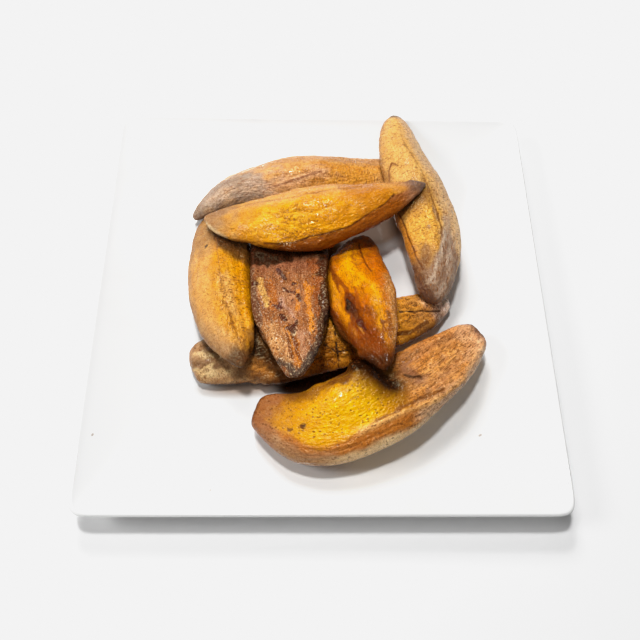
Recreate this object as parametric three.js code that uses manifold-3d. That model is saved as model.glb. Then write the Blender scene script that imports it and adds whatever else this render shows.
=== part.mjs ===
// Fried plantain side: eight halves of fried ripe plantain, piled on a square porcelain plate.
// Units are millimetres and +Z is up. The origin is the middle of the plate's footprint, on the surface
// that it stands on. The plate is a lathed profile whose rings are squared off. Each half starts as a sphere
// whose poles are its two ends: the rings between them are carried along a curved spine and shaped into the
// section of a peeled plantain, with the flat face that halving it left.
import * as THREE from "three";
import { mergeVertices } from "three/addons/utils/BufferGeometryUtils.js";
import Module from "manifold-3d";

const wasm = await Module();
wasm.setup();

// Driving dimensions of the plate
const PLATE_SIDE = 270;
const PLATE_HEIGHT = 21; // top of the rim above the table
const WELL_TOP = 7; // eating surface above the table
const WALL = 4.6; // porcelain thickness under the well
const RIM_WALL = 3.6; // porcelain thickness at the lip
const WELL_SHARE = 0.6; // part of the half side that stays flat
const FOOT_HALF = 78; // half side of the foot, at the outer edge of its flat face
const FOOT_WIDTH = 5;
const FOOT_FLAT = 3.5; // width of the ring's face that meets the table
const CORNER_RADIUS = 7; // the plate's outer corners, seen from above
const SLOPE_POWER = 1.7; // 1 would be a straight slope from the well to the rim
const WELL_CORNER_SHARE = 0.35; // corner radius of the inner rings as a part of their half side

// Driving dimensions shared by the pieces
const REST_GAP = 0.35; // clearance between two things that touch
const UNEVENNESS = 0.03; // share of the radius by which a piece swells and shrinks
const PEEL_EDGES = { count: 5, turn: 0.3, depth: 0.5 }; // the long edges of a peeled plantain
const RINGS = 24;
const STRIPS = 28;
const POLE_ROUNDING = 1e-6;

const PORCELAIN = 0xf4f4f2;
const PORCELAIN_ROUGHNESS = 0.15;
const CRUST_ROUGHNESS = 0.4;

const PLATE_STEPS = 64;
const FLANK_STEPS = 5;
const LIP_STEPS = 6;
const SLOPE_STEPS = 7;
const CORNER_CROWDING = 0.19; // how far the steps round the plate are drawn towards its corners, in radians
const TAU = Math.PI * 2;
const VERTICAL = new THREE.Vector3(0, 0, 1);

// ---------------------------------------------------------------- small helpers

const lerp = (a, b, k) => a + (b - a) * k;
const smooth = (a, b, x) => {
  const k = Math.min(1, Math.max(0, (x - a) / (b - a)));
  return k * k * (3 - 2 * k);
};

// A value that runs smoothly through evenly spaced stations along a piece.
function along(stations, t) {
  const place = t * (stations.length - 1);
  const i = Math.min(stations.length - 2, Math.floor(place));
  return lerp(stations[i], stations[i + 1], smooth(0, 1, place - i));
}

function solidOf(geometry) {
  const bare = geometry.clone();
  bare.deleteAttribute("normal");
  bare.deleteAttribute("uv");
  const merged = mergeVertices(bare, 1e-3);
  return new wasm.Manifold(
    new wasm.Mesh({
      numProp: 3,
      vertProperties: merged.attributes.position.array,
      triVerts: new Uint32Array(merged.index.array),
    }),
  );
}

function geometryOf(solid) {
  const mesh = solid.getMesh();
  const geometry = new THREE.BufferGeometry();
  geometry.setAttribute("position", new THREE.BufferAttribute(mesh.vertProperties, 3));
  geometry.setIndex(new THREE.BufferAttribute(mesh.triVerts, 1));
  geometry.computeVertexNormals();
  return geometry;
}

// Moves every vertex of a geometry by a function of its place.
function reshape(geometry, move) {
  const places = geometry.attributes.position;
  const point = new THREE.Vector3();
  for (let i = 0; i < places.count; i++) {
    point.fromBufferAttribute(places, i);
    move(point);
    places.setXYZ(i, point.x, point.y, point.z);
  }
  return geometry;
}

// ---------------------------------------------------------------- the plate

// Distance from the middle to a square of half side 1 with rounded corners, in one direction.
function squareReach(angle, corner) {
  const c = Math.abs(Math.cos(angle));
  const s = Math.abs(Math.sin(angle));
  const flat = 1 / Math.max(c, s);
  const inner = 1 - corner;
  if (Math.min(c, s) * flat <= inner) return flat;
  const along45 = inner * (c + s);
  return along45 + Math.sqrt(along45 * along45 - 2 * inner * inner + corner * corner);
}

function plateProfile() {
  const half = PLATE_SIDE / 2;
  const well = half * WELL_SHARE;
  const lipRadius = RIM_WALL / 2;
  const rise = PLATE_HEIGHT - WELL_TOP;
  const topAt = (r) => WELL_TOP + rise * Math.pow(Math.max(0, (r - well) / (half - well)), SLOPE_POWER);
  const points = [new THREE.Vector2(0, WELL_TOP - WALL)];
  const wallAt = (r) => lerp(WALL, RIM_WALL, smooth(well, half, r));
  const under = (r) => points.push(new THREE.Vector2(r, topAt(r) - wallAt(r)));
  under(FOOT_HALF - FOOT_WIDTH);
  points.push(new THREE.Vector2(FOOT_HALF - FOOT_FLAT, 0));
  points.push(new THREE.Vector2(FOOT_HALF, 0));
  const outside = FOOT_HALF + FOOT_WIDTH * 0.5;
  for (let i = 0; i <= FLANK_STEPS; i++) under(lerp(outside, half - lipRadius, i / FLANK_STEPS));
  for (let i = 1; i <= LIP_STEPS; i++) {
    const turn = lerp(-Math.PI / 2, Math.PI / 2, i / LIP_STEPS);
    const r = half - lipRadius + lipRadius * Math.cos(turn);
    points.push(new THREE.Vector2(r, PLATE_HEIGHT - lipRadius + lipRadius * Math.sin(turn)));
  }
  for (let i = 0; i <= SLOPE_STEPS; i++) {
    const r = lerp(half - RIM_WALL, well, i / SLOPE_STEPS);
    points.push(new THREE.Vector2(r, topAt(r)));
  }
  points.push(new THREE.Vector2(0, WELL_TOP));
  return points;
}

function plateGeometry() {
  const half = PLATE_SIDE / 2;
  const turned = new THREE.LatheGeometry(plateProfile(), PLATE_STEPS);
  return reshape(turned, (p) => {
    const radius = Math.hypot(p.x, p.z);
    const even = Math.atan2(p.z, p.x);
    const angle = even + CORNER_CROWDING * Math.sin(4 * even);
    const corner = lerp(WELL_CORNER_SHARE, CORNER_RADIUS / half, smooth(WELL_SHARE, 1, radius / half));
    const reach = radius * squareReach(angle, corner);
    p.set(reach * Math.cos(angle), -reach * Math.sin(angle), p.y);
  });
}

// ---------------------------------------------------------------- the pieces

// Radius factor of a rounded polygon: 1 at a ridge, less at the middle of a side.
function ridged(angle, ridges) {
  const span = TAU / ridges.count;
  const off = ((((angle - ridges.turn) % span) + span) % span) - span / 2;
  return lerp(1, Math.cos(span / 2) / Math.cos(off), ridges.depth);
}

// Slow waves over a piece, between -1 and 1, that differ from piece to piece.
function waves(t, angle, phase) {
  const slow = Math.sin(9 * t + 2 * angle + phase);
  const middling = Math.sin(17 * t - 3 * angle + 2.3 * phase);
  const quick = Math.sin(31 * t + angle + 3.7 * phase);
  return 0.45 * slow + 0.35 * middling + 0.2 * quick;
}

// Height added to the upper surface by soft swellings and hollows, placed by share of length and half width.
function swelling(swells, t, share) {
  let rise = 0;
  for (const s of swells) {
    const far = ((t - s.at) / s.long) ** 2 + ((share - s.across) / s.wide) ** 2;
    rise += s.rise * Math.exp(-far);
  }
  return rise;
}

// spine: the piece's middle line, from one end to the other
// width, height: half sizes of the section at evenly spaced stations
// tips: how pointed the two ends are, 0.2 is blunt and 1.3 sharp
// roll: turn of the section about the spine, in degrees, at evenly spaced stations
// phase: where its waves start
// cut: the flat face that halving left: side is 1 for face up and -1 for face down, level is its distance
//   from the spine as a share of the half height, dish is how far its middle has sunk, edge rounds its rim
// swells: soft swellings and hollows of the upper surface
// grow: how much larger than its true size the piece comes out, for cutting a neighbour clear of it
function pieceGeometry(spec, grow = 0) {
  const points = spec.spine.map((p) => new THREE.Vector3(...p));
  const spine = new THREE.CatmullRomCurve3(points, false, "centripetal");
  const sideways = new THREE.Vector3();
  const upward = new THREE.Vector3();
  const turn = new THREE.Quaternion();
  return reshape(new THREE.SphereGeometry(1, STRIPS, RINGS), (p) => {
    const polar = Math.acos(THREE.MathUtils.clamp(p.y, -1, 1));
    const angle = Math.atan2(p.z, -p.x);
    const t = (1 - Math.cos(polar)) / 2;
    const atPole = Math.sin(polar) < POLE_ROUNDING;
    const tip = atPole ? 0 : Math.pow(Math.sin(polar), lerp(spec.tips[0], spec.tips[1], t));
    const reach = tip * ridged(angle, PEEL_EDGES) * (1 + UNEVENNESS * waves(t, angle, spec.phase));
    const halfWidth = along(spec.width, t);
    const halfHeight = along(spec.height, t);
    const across = Math.cos(angle) * reach * (halfWidth + grow);
    const share = atPole ? 0 : across / (tip * halfWidth);
    let lift = Math.sin(angle) * reach * (halfHeight + grow);

    const { side, level, dish, edge } = spec.cut;
    const face = tip * (halfHeight * level - dish * (1 - share * share)) + grow;
    const shoulder = Math.max(face - edge * tip, 0);
    const rounding = face - shoulder + POLE_ROUNDING;
    const over = side * lift - shoulder;
    if (over > 0) lift = side * (shoulder + rounding * Math.tanh(over / rounding));
    if (lift > 0) lift += tip * swelling(spec.swells ?? [], t, share);

    const ahead = spine.getTangentAt(t);
    turn.setFromAxisAngle(ahead, -THREE.MathUtils.degToRad(along(spec.roll, t)));
    sideways.crossVectors(ahead, VERTICAL).normalize();
    upward.crossVectors(sideways, ahead).applyQuaternion(turn);
    sideways.applyQuaternion(turn);
    p.copy(spine.getPointAt(t));
    p.addScaledVector(sideways, across);
    p.addScaledVector(upward, lift);
    p.addScaledVector(ahead, -grow * Math.cos(polar));
  });
}

const FACE_DOWN = { side: -1, level: 0.45, dish: 0.8, edge: 3 };
const FACE_UP = { side: 1, level: 0.42, dish: 1.6, edge: 2.5 };

// In the order they were piled: each piece is cleared of the ones before it.
const PIECES = {
  bottom_half: {
    colour: 0xb5731c,
    spine: [[-76, -49, 13], [-55, -41, 13.5], [-10, -32, 13.5], [38, -19, 13.5], [78, -3, 13]],
    width: [22, 23, 19.5, 16, 16.5],
    height: [13, 14, 14.5, 14, 11],
    tips: [0.50, 0.75],
    roll: [0, 0],
    phase: 1.3,
    cut: FACE_DOWN,
  },
  back_half: {
    colour: 0xc08434,
    spine: [[-82, 56, 13], [-61, 74, 14], [-16, 84, 15], [27, 85, 14.5], [65, 95, 13.5]],
    width: [9, 14, 18, 19.5, 21.5],
    height: [10, 14.5, 16, 13.5, 10],
    tips: [0.95, 0.80],
    roll: [-6, -6, -6],
    phase: 4.1,
    cut: FACE_DOWN,
  },
  front_half: {
    colour: 0xd08d16,
    spine: [[-38, -76, 18], [-3, -88, 24], [36, -71, 26], [68, -50, 24.5], [92, -28, 22.5]],
    width: [17.5, 25.5, 25.5, 21, 18.5],
    height: [14, 18, 19, 18, 15],
    tips: [0.40, 0.60],
    roll: [0, 0],
    phase: 2.2,
    cut: { ...FACE_UP, level: 0.62, dish: 1 },
    swells: [
      { at: 0.38, long: 0.22, across: -0.35, wide: 0.6, rise: 5 },
      { at: 0.63, long: 0.06, across: -0.9, wide: 0.6, rise: -8 },
      { at: 0.8, long: 0.2, across: 0, wide: 0.5, rise: -2 },
    ],
  },
  left_half: {
    colour: 0xd2902a,
    spine: [[-68, 61, 10], [-64, 32, 13], [-62, 6, 18], [-58, -21, 24.5], [-45, -57, 36]],
    width: [24, 22, 20, 18.5, 15.5],
    height: [12, 14, 15, 13.5, 11],
    tips: [0.90, 1.25],
    roll: [0, 0],
    phase: 5.7,
    cut: FACE_DOWN,
  },
  middle_half: {
    colour: 0x9c5f3a,
    spine: [[-21, 46, 16], [-19, -15, 31.5], [-16, -38, 38], [-16, -66, 44]],
    width: [27, 25, 22.5, 20, 16.5],
    height: [13, 14, 14, 13, 11],
    tips: [0.20, 1.00],
    roll: [0, -4, -12],
    phase: 0.6,
    cut: FACE_UP,
    swells: [
      { at: 0.55, long: 0.35, across: 0, wide: 0.5, rise: -1.2 },
    ],
  },
  inner_half: {
    colour: 0xc8790f,
    spine: [[28, 43, 14.5], [22, 18, 19.5], [25, -21, 35], [34, -60, 44.5]],
    width: [23.5, 21, 20.5, 20, 18.5],
    height: [12, 15, 15, 14, 11],
    tips: [1.25, 1.30],
    roll: [-8, -15, -15],
    phase: 3.3,
    cut: { ...FACE_UP, level: 0.5, dish: -1 },
    swells: [
      { at: 0.35, long: 0.35, across: 0.1, wide: 0.8, rise: 3 },
    ],
  },
  right_half: {
    colour: 0xcb9440,
    spine: [[50, 134, 23], [52, 99, 26], [60, 69, 27.5], [68, 31, 25.5], [68, -10, 23]],
    width: [18, 17.5, 19, 21.5, 21],
    height: [11, 14, 15, 14, 12],
    tips: [1.05, 0.85],
    roll: [0, 0],
    phase: 2.9,
    cut: FACE_DOWN,
  },
  top_half: {
    colour: 0xd59526,
    spine: [[-74, 48, 25.5], [-58, 44, 27], [-18, 42, 33], [24, 48, 38.5], [64, 63, 43.5]],
    width: [27, 20.5, 22, 19, 15.5],
    height: [9, 14.5, 16, 12.5, 8],
    tips: [1.50, 1.50],
    roll: [0, 0],
    phase: 4.8,
    cut: FACE_DOWN,
  },
};

// ---------------------------------------------------------------- putting it together

function meshOf(name, geometry, color, roughness) {
  const material = new THREE.MeshStandardMaterial({ color, roughness, metalness: 0 });
  const mesh = new THREE.Mesh(geometry, material);
  mesh.name = name;
  return mesh;
}

const dish = new THREE.Group();
dish.name = "fried_plantain_side";
dish.add(meshOf("plate", plateGeometry(), PORCELAIN, PORCELAIN_ROUGHNESS));

const below = [solidOf(plateGeometry()).translate(0, 0, REST_GAP)];
for (const [name, spec] of Object.entries(PIECES)) {
  let piece = solidOf(pieceGeometry(spec));
  for (const lower of below) piece = piece.subtract(lower);
  dish.add(meshOf(name, geometryOf(piece), spec.colour, CRUST_ROUGHNESS));
  below.push(solidOf(pieceGeometry(spec, REST_GAP)));
}

export default dish;
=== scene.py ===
import math

import bpy
import numpy as np
from mathutils import Matrix
from mathutils.bvhtree import BVHTree


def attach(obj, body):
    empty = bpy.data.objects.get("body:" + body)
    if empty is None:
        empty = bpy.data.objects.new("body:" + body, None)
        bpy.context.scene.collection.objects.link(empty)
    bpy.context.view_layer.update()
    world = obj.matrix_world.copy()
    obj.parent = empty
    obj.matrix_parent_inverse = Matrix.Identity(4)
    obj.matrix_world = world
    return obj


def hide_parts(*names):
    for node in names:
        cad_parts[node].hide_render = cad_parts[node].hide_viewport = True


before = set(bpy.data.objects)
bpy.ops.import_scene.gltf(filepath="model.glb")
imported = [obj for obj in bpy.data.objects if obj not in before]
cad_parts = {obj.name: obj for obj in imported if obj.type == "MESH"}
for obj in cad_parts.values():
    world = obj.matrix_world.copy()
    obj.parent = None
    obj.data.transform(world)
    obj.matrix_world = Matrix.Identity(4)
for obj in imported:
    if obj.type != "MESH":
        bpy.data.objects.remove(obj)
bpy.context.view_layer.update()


# ------------------------------------------------------------------ table, lamps and camera
# The dish stands on a plain pale table top. A small lamp hangs almost straight above it, broad soft ones
# behind it, to its left and in front, and weak white light comes from all round.

TABLE_SIZE = 4
TABLE_DROP = 0.0001
TABLE_WHITE = (0.84, 0.84, 0.84, 1)
TABLE_ROUGHNESS = 0.7
AMBIENT_WHITE = (1, 1, 1, 1)
AMBIENT_STRENGTH = 0.095
WHITEST = 0.896
WHITE_KNEE = WHITEST - 0.06
LAMP_DISTANCE = 1.3
CAMERA_PLACE = (-0.01461, -0.21412, 0.41394)
CAMERA_RIGHT = (0.9995, -0.0069, 0.0301)
CAMERA_UP = (-0.0072, 0.8969, 0.4422)
CAMERA_AHEAD = (0.0301, 0.4422, -0.8964)
LENS_MM = 41.6

bpy.ops.object.select_all(action="DESELECT")
bpy.ops.mesh.primitive_plane_add(size=TABLE_SIZE, location=(0, 0, -TABLE_DROP))
table = bpy.context.object
table.name = "table_top"
table_paint = bpy.data.materials.new("table_paint")
table_paint.use_nodes = True
table_shader = table_paint.node_tree.nodes["Principled BSDF"]
table_shader.inputs["Base Color"].default_value = TABLE_WHITE
table_shader.inputs["Roughness"].default_value = TABLE_ROUGHNESS
table.data.materials.append(table_paint)

sky = bpy.data.worlds.new("studio")
sky.use_nodes = True
sky_light = sky.node_tree.nodes["Background"]
sky_light.inputs["Color"].default_value = AMBIENT_WHITE
sky_light.inputs["Strength"].default_value = AMBIENT_STRENGTH
bpy.context.scene.world = sky

# The film is held back so that table and plate stay a little under pure white.
view = bpy.context.scene.view_settings
view.view_transform = "Standard"
view.use_curve_mapping = True
curve = view.curve_mapping.curves[3]
curve.points[1].location = (1, WHITEST)
curve.points.new(WHITE_KNEE, WHITE_KNEE)
for point in curve.points:
    point.handle_type = "VECTOR"
view.curve_mapping.extend = "HORIZONTAL"
view.curve_mapping.update()


def hang_lamp(name, lean, bearing, radius, watts):
    """A round lamp: lean is degrees from straight above the dish, bearing degrees round from its right."""
    lean, bearing = math.radians(lean), math.radians(bearing)
    across = LAMP_DISTANCE * math.sin(lean)
    place = (across * math.cos(bearing), across * math.sin(bearing), LAMP_DISTANCE * math.cos(lean))
    bpy.ops.object.light_add(type="POINT", location=place)
    lamp = bpy.context.object
    lamp.name = name
    lamp.data.energy = watts
    lamp.data.shadow_soft_size = radius


hang_lamp("ceiling_lamp", 10.5, 124, 0.07, 37)
hang_lamp("back_lamp", 38, 104, 0.2, 35)
hang_lamp("left_lamp", 48, 185, 0.2, 24)
hang_lamp("front_lamp", 55, 265, 0.4, 6)


bpy.ops.object.camera_add(location=CAMERA_PLACE)
camera = bpy.context.object
camera.name = "camera"
camera.data.lens = LENS_MM
camera.data.sensor_width = 36
camera.rotation_euler = Matrix(
    (CAMERA_RIGHT, CAMERA_UP, [-step for step in CAMERA_AHEAD])
).transposed().to_euler()
bpy.context.scene.camera = camera


# ------------------------------------------------------------------ plate
# A square coupe plate of white glazed porcelain, pressed in one piece, so it is one smooth skin over the
# solid. Syrup-dark and oily browns are painted on it as shade in the gaps under and beside the pile, and as
# the top half's shadow, and three crumbs lie on it. Each spot is a middle in m, a turn in degrees and a size.

PORCELAIN = (0.86, 0.86, 0.855, 1)
COOL_PORCELAIN = (0.84, 0.84, 0.83, 1)
DEEP_SHADE_BROWN = (0.035, 0.014, 0.006, 1)
OILY_SHADE_BROWN = (0.17, 0.085, 0.035, 1)
THIN_SHADE_BROWN = (0.3, 0.18, 0.1, 1)
CRUMB_BROWN = (0.36, 0.27, 0.21, 1)
FRONT_SHADE_POOL = ((-0.003, -0.0525, 0.007), 19, (0.038, 0.0105, 0.02))
INNER_SHADE_POOL = ((0.006, 0.03, 0.007), 75, (0.024, 0.0085, 0.02))
LEFT_SHADE_FILM = ((-0.046, -0.0585, 0.007), 3, (0.036, 0.0075, 0.02))
TOP_HALF_SHADOW_SPOT = ((0.033, 0.053, 0.007), 15, (0.036, 0.019, 0.02))
CRUMBS = (
    ((0.09, -0.087, 0.0088), 30, (0.0016, 0.0009, 0.003)),
    ((-0.127, -0.09, 0.0176), 70, (0.0013, 0.0008, 0.003)),
    ((-0.061, -0.12, 0.015), 70, (0.0013, 0.0008, 0.003)),
)


class Thread:
    """One value or colour on its way through a finish. Sums and products of it add the nodes they need."""

    def __init__(self, finish, socket):
        self.finish = finish
        self.socket = socket

    def sum_up(self, operation, first, second):
        return self.finish.add("ShaderNodeMath", {"operation": operation}, first, second)

    def __add__(self, other):
        return self.sum_up("ADD", self, other)

    def __sub__(self, other):
        return self.sum_up("SUBTRACT", self, other)

    def __rsub__(self, other):
        return self.sum_up("SUBTRACT", other, self)

    def __mul__(self, other):
        return self.sum_up("MULTIPLY", self, other)

    def or_more(self, other):
        return self.sum_up("MAXIMUM", self, other)

    __radd__ = __add__
    __rmul__ = __mul__


class Finish:
    """A material made from nodes, for one piece or a group of pieces."""

    def __init__(self, name, **settings):
        self.material = bpy.data.materials.new(name)
        self.material.use_nodes = True
        self.tree = self.material.node_tree
        self.shader = self.tree.nodes["Principled BSDF"]
        for socket, value in settings.items():
            self.shader.inputs[socket.replace("_", " ")].default_value = value

    def join(self, socket, value):
        if isinstance(value, Thread):
            self.tree.links.new(value.socket, socket)
        else:
            socket.default_value = value

    def add(self, kind, settings=None, *values, out=0, **named):
        """Adds a node and gives the thread from one of its outputs."""
        node = self.tree.nodes.new(kind)
        for key, value in (settings or {}).items():
            setattr(node, key, value)
        for socket, value in zip([socket for socket in node.inputs if socket.enabled], values):
            self.join(socket, value)
        for key, value in named.items():
            self.join(node.inputs[key.replace("_", " ")], value)
        return Thread(self, [socket for socket in node.outputs if socket.enabled][out])

    def stretched(self, vector, size):
        return self.add("ShaderNodeMapping", None, Vector=vector, Scale=[1 / step for step in size])

    def grain(self, vector, size, detail=2, roughness=0.5):
        """Soft random values from 0 to 1, with spots of about the given size in each direction."""
        return self.add("ShaderNodeTexNoise", None, Vector=self.stretched(vector, size), Scale=1,
                        Detail=detail, Roughness=roughness)

    def between(self, value, low, high):
        """0 under low, 1 over high, with a soft step between them."""
        return self.add("ShaderNodeMapRange", {"interpolation_type": "SMOOTHSTEP"}, Value=value,
                        From_Min=low, From_Max=high)

    def spot(self, vector, middle, turn, size):
        """1 at the middle of an oval spot and falling to 0 at its edge; turn is degrees from the right."""
        inside = self.add("ShaderNodeMapping", {"vector_type": "TEXTURE"}, Vector=vector, Location=middle,
                          Rotation=(0, 0, math.radians(turn)), Scale=size)
        return self.add("ShaderNodeTexGradient", {"gradient_type": "SPHERICAL"}, inside, out=1)

    def mix(self, factor, first, second, blend="MIX"):
        """The first colour where the factor is 0 and the second where it is 1."""
        return self.add("ShaderNodeMix", {"data_type": "RGBA", "blend_type": blend}, factor, first, second)

    def shade(self, colour, value, amount):
        """Darkens a colour where the value is low and leaves it where the value is 1."""
        return self.mix(amount, colour, value, "MULTIPLY")

    def paint(self, socket, thread):
        self.tree.links.new(thread.socket, self.shader.inputs[socket])

    def emboss(self, height, depth, strength):
        bump = self.add("ShaderNodeBump", None, Strength=strength, Distance=depth, Height=height)
        self.paint("Normal", bump)


def copy_of(node, name):
    """A merged copy of a solid, selected and active."""
    bpy.ops.object.select_all(action="DESELECT")
    piece = bpy.data.objects.new(name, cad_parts[node].data.copy())
    bpy.context.scene.collection.objects.link(piece)
    piece.data.materials.clear()
    piece.select_set(True)
    bpy.context.view_layer.objects.active = piece
    bpy.ops.object.mode_set(mode="EDIT")
    bpy.ops.mesh.select_all(action="SELECT")
    bpy.ops.mesh.remove_doubles(threshold=0.00001)
    bpy.ops.object.mode_set(mode="OBJECT")
    return piece


def worked(piece, kind, **settings):
    """Adds a modifier to a piece and applies it."""
    modifier = piece.modifiers.new(kind.lower(), kind)
    for key, value in settings.items():
        setattr(modifier, key, value)
    bpy.ops.object.modifier_apply(modifier=modifier.name)


plate = copy_of("plate", "porcelain_plate")
bpy.ops.object.mode_set(mode="EDIT")
bpy.ops.mesh.select_all(action="SELECT")
bpy.ops.mesh.tris_convert_to_quads(face_threshold=math.radians(40), shape_threshold=math.radians(60))
bpy.ops.object.mode_set(mode="OBJECT")
worked(plate, "SUBSURF", levels=2, render_levels=2)
bpy.ops.object.shade_smooth()

glaze = Finish("porcelain_glaze", Coat_Weight=0.5, Coat_Roughness=0.05)
place = glaze.add("ShaderNodeTexCoord", out=3)
cloud = glaze.grain(place, (0.05, 0.05, 0.05))
porcelain = glaze.mix(cloud, PORCELAIN, COOL_PORCELAIN)
# Painted shade: syrup-dark and oily browns on the plate in the gaps under and beside the pile.
shade_film = glaze.spot(place, *LEFT_SHADE_FILM)
porcelain = glaze.mix(glaze.between(shade_film + (cloud - 0.5) * 0.2, 0, 0.8) * 0.8, porcelain, THIN_SHADE_BROWN)
shade_pool = glaze.spot(place, *FRONT_SHADE_POOL).or_more(glaze.spot(place, *INNER_SHADE_POOL))
porcelain = glaze.mix(glaze.between(shade_pool + (cloud - 0.5) * 0.3, 0.1, 0.45), porcelain, DEEP_SHADE_BROWN)
# The painted shadow of the top half on the plate, between the inner and right halves.
top_half_shadow = glaze.spot(place, *TOP_HALF_SHADOW_SPOT)
porcelain = glaze.mix(glaze.between(top_half_shadow + (cloud - 0.5) * 0.3, 0.02, 0.5) * 0.9, porcelain, OILY_SHADE_BROWN)
crumbs = glaze.spot(place, *CRUMBS[0])
for crumb in CRUMBS[1:]:
    crumbs = crumbs.or_more(glaze.spot(place, *crumb))
porcelain = glaze.mix(glaze.between(crumbs, 0.1, 0.5) * 0.7, porcelain, CRUMB_BROWN)
glaze.paint("Base Color", porcelain)
glaze.paint("Roughness", 0.12 + cloud * 0.08)
glaze.emboss(glaze.grain(place, (0.012, 0.012, 0.012)), 0.00005, 0.3)
plate.data.materials.append(glaze.material)
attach(plate, "root")
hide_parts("plate")


# ------------------------------------------------------------------ bottom half
# The first half on the plate: half a peeled ripe plantain, fried and laid cut side down, olive gold and dark
# brown. Four others lean on it.

WEAVE = 64
LATTICE = np.random.default_rng(11).random((WEAVE, WEAVE, WEAVE))


def scatter(points, size):
    """Soft random values from -1 to 1 at the points, with lumps of about the given size in each direction."""
    steps = points / np.array(size)
    cell = np.floor(steps).astype(int)
    part = steps - cell
    part = part * part * (3 - 2 * part)
    total = np.zeros(len(points))
    for corner in np.ndindex(2, 2, 2):
        share = np.ones(len(points))
        for axis in range(3):
            share = share * (part[:, axis] if corner[axis] else 1 - part[:, axis])
        index = (cell + corner) % WEAVE
        total += share * LATTICE[index[:, 0], index[:, 1], index[:, 2]]
    return total * 2 - 1


def soft_step(value, low, high):
    share = np.clip((value - low) / (high - low), 0, 1)
    return share * share * (3 - 2 * share)


def skin_of(nodes):
    """One search tree over the faces of several solids, in mm."""
    corners, faces = [], []
    for node in nodes:
        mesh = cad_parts[node].data
        faces += [[corner + len(corners) for corner in face.vertices] for face in mesh.polygons]
        corners += [vertex.co * 1000 for vertex in mesh.vertices]
    return BVHTree.FromPolygons(corners, faces)


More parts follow.
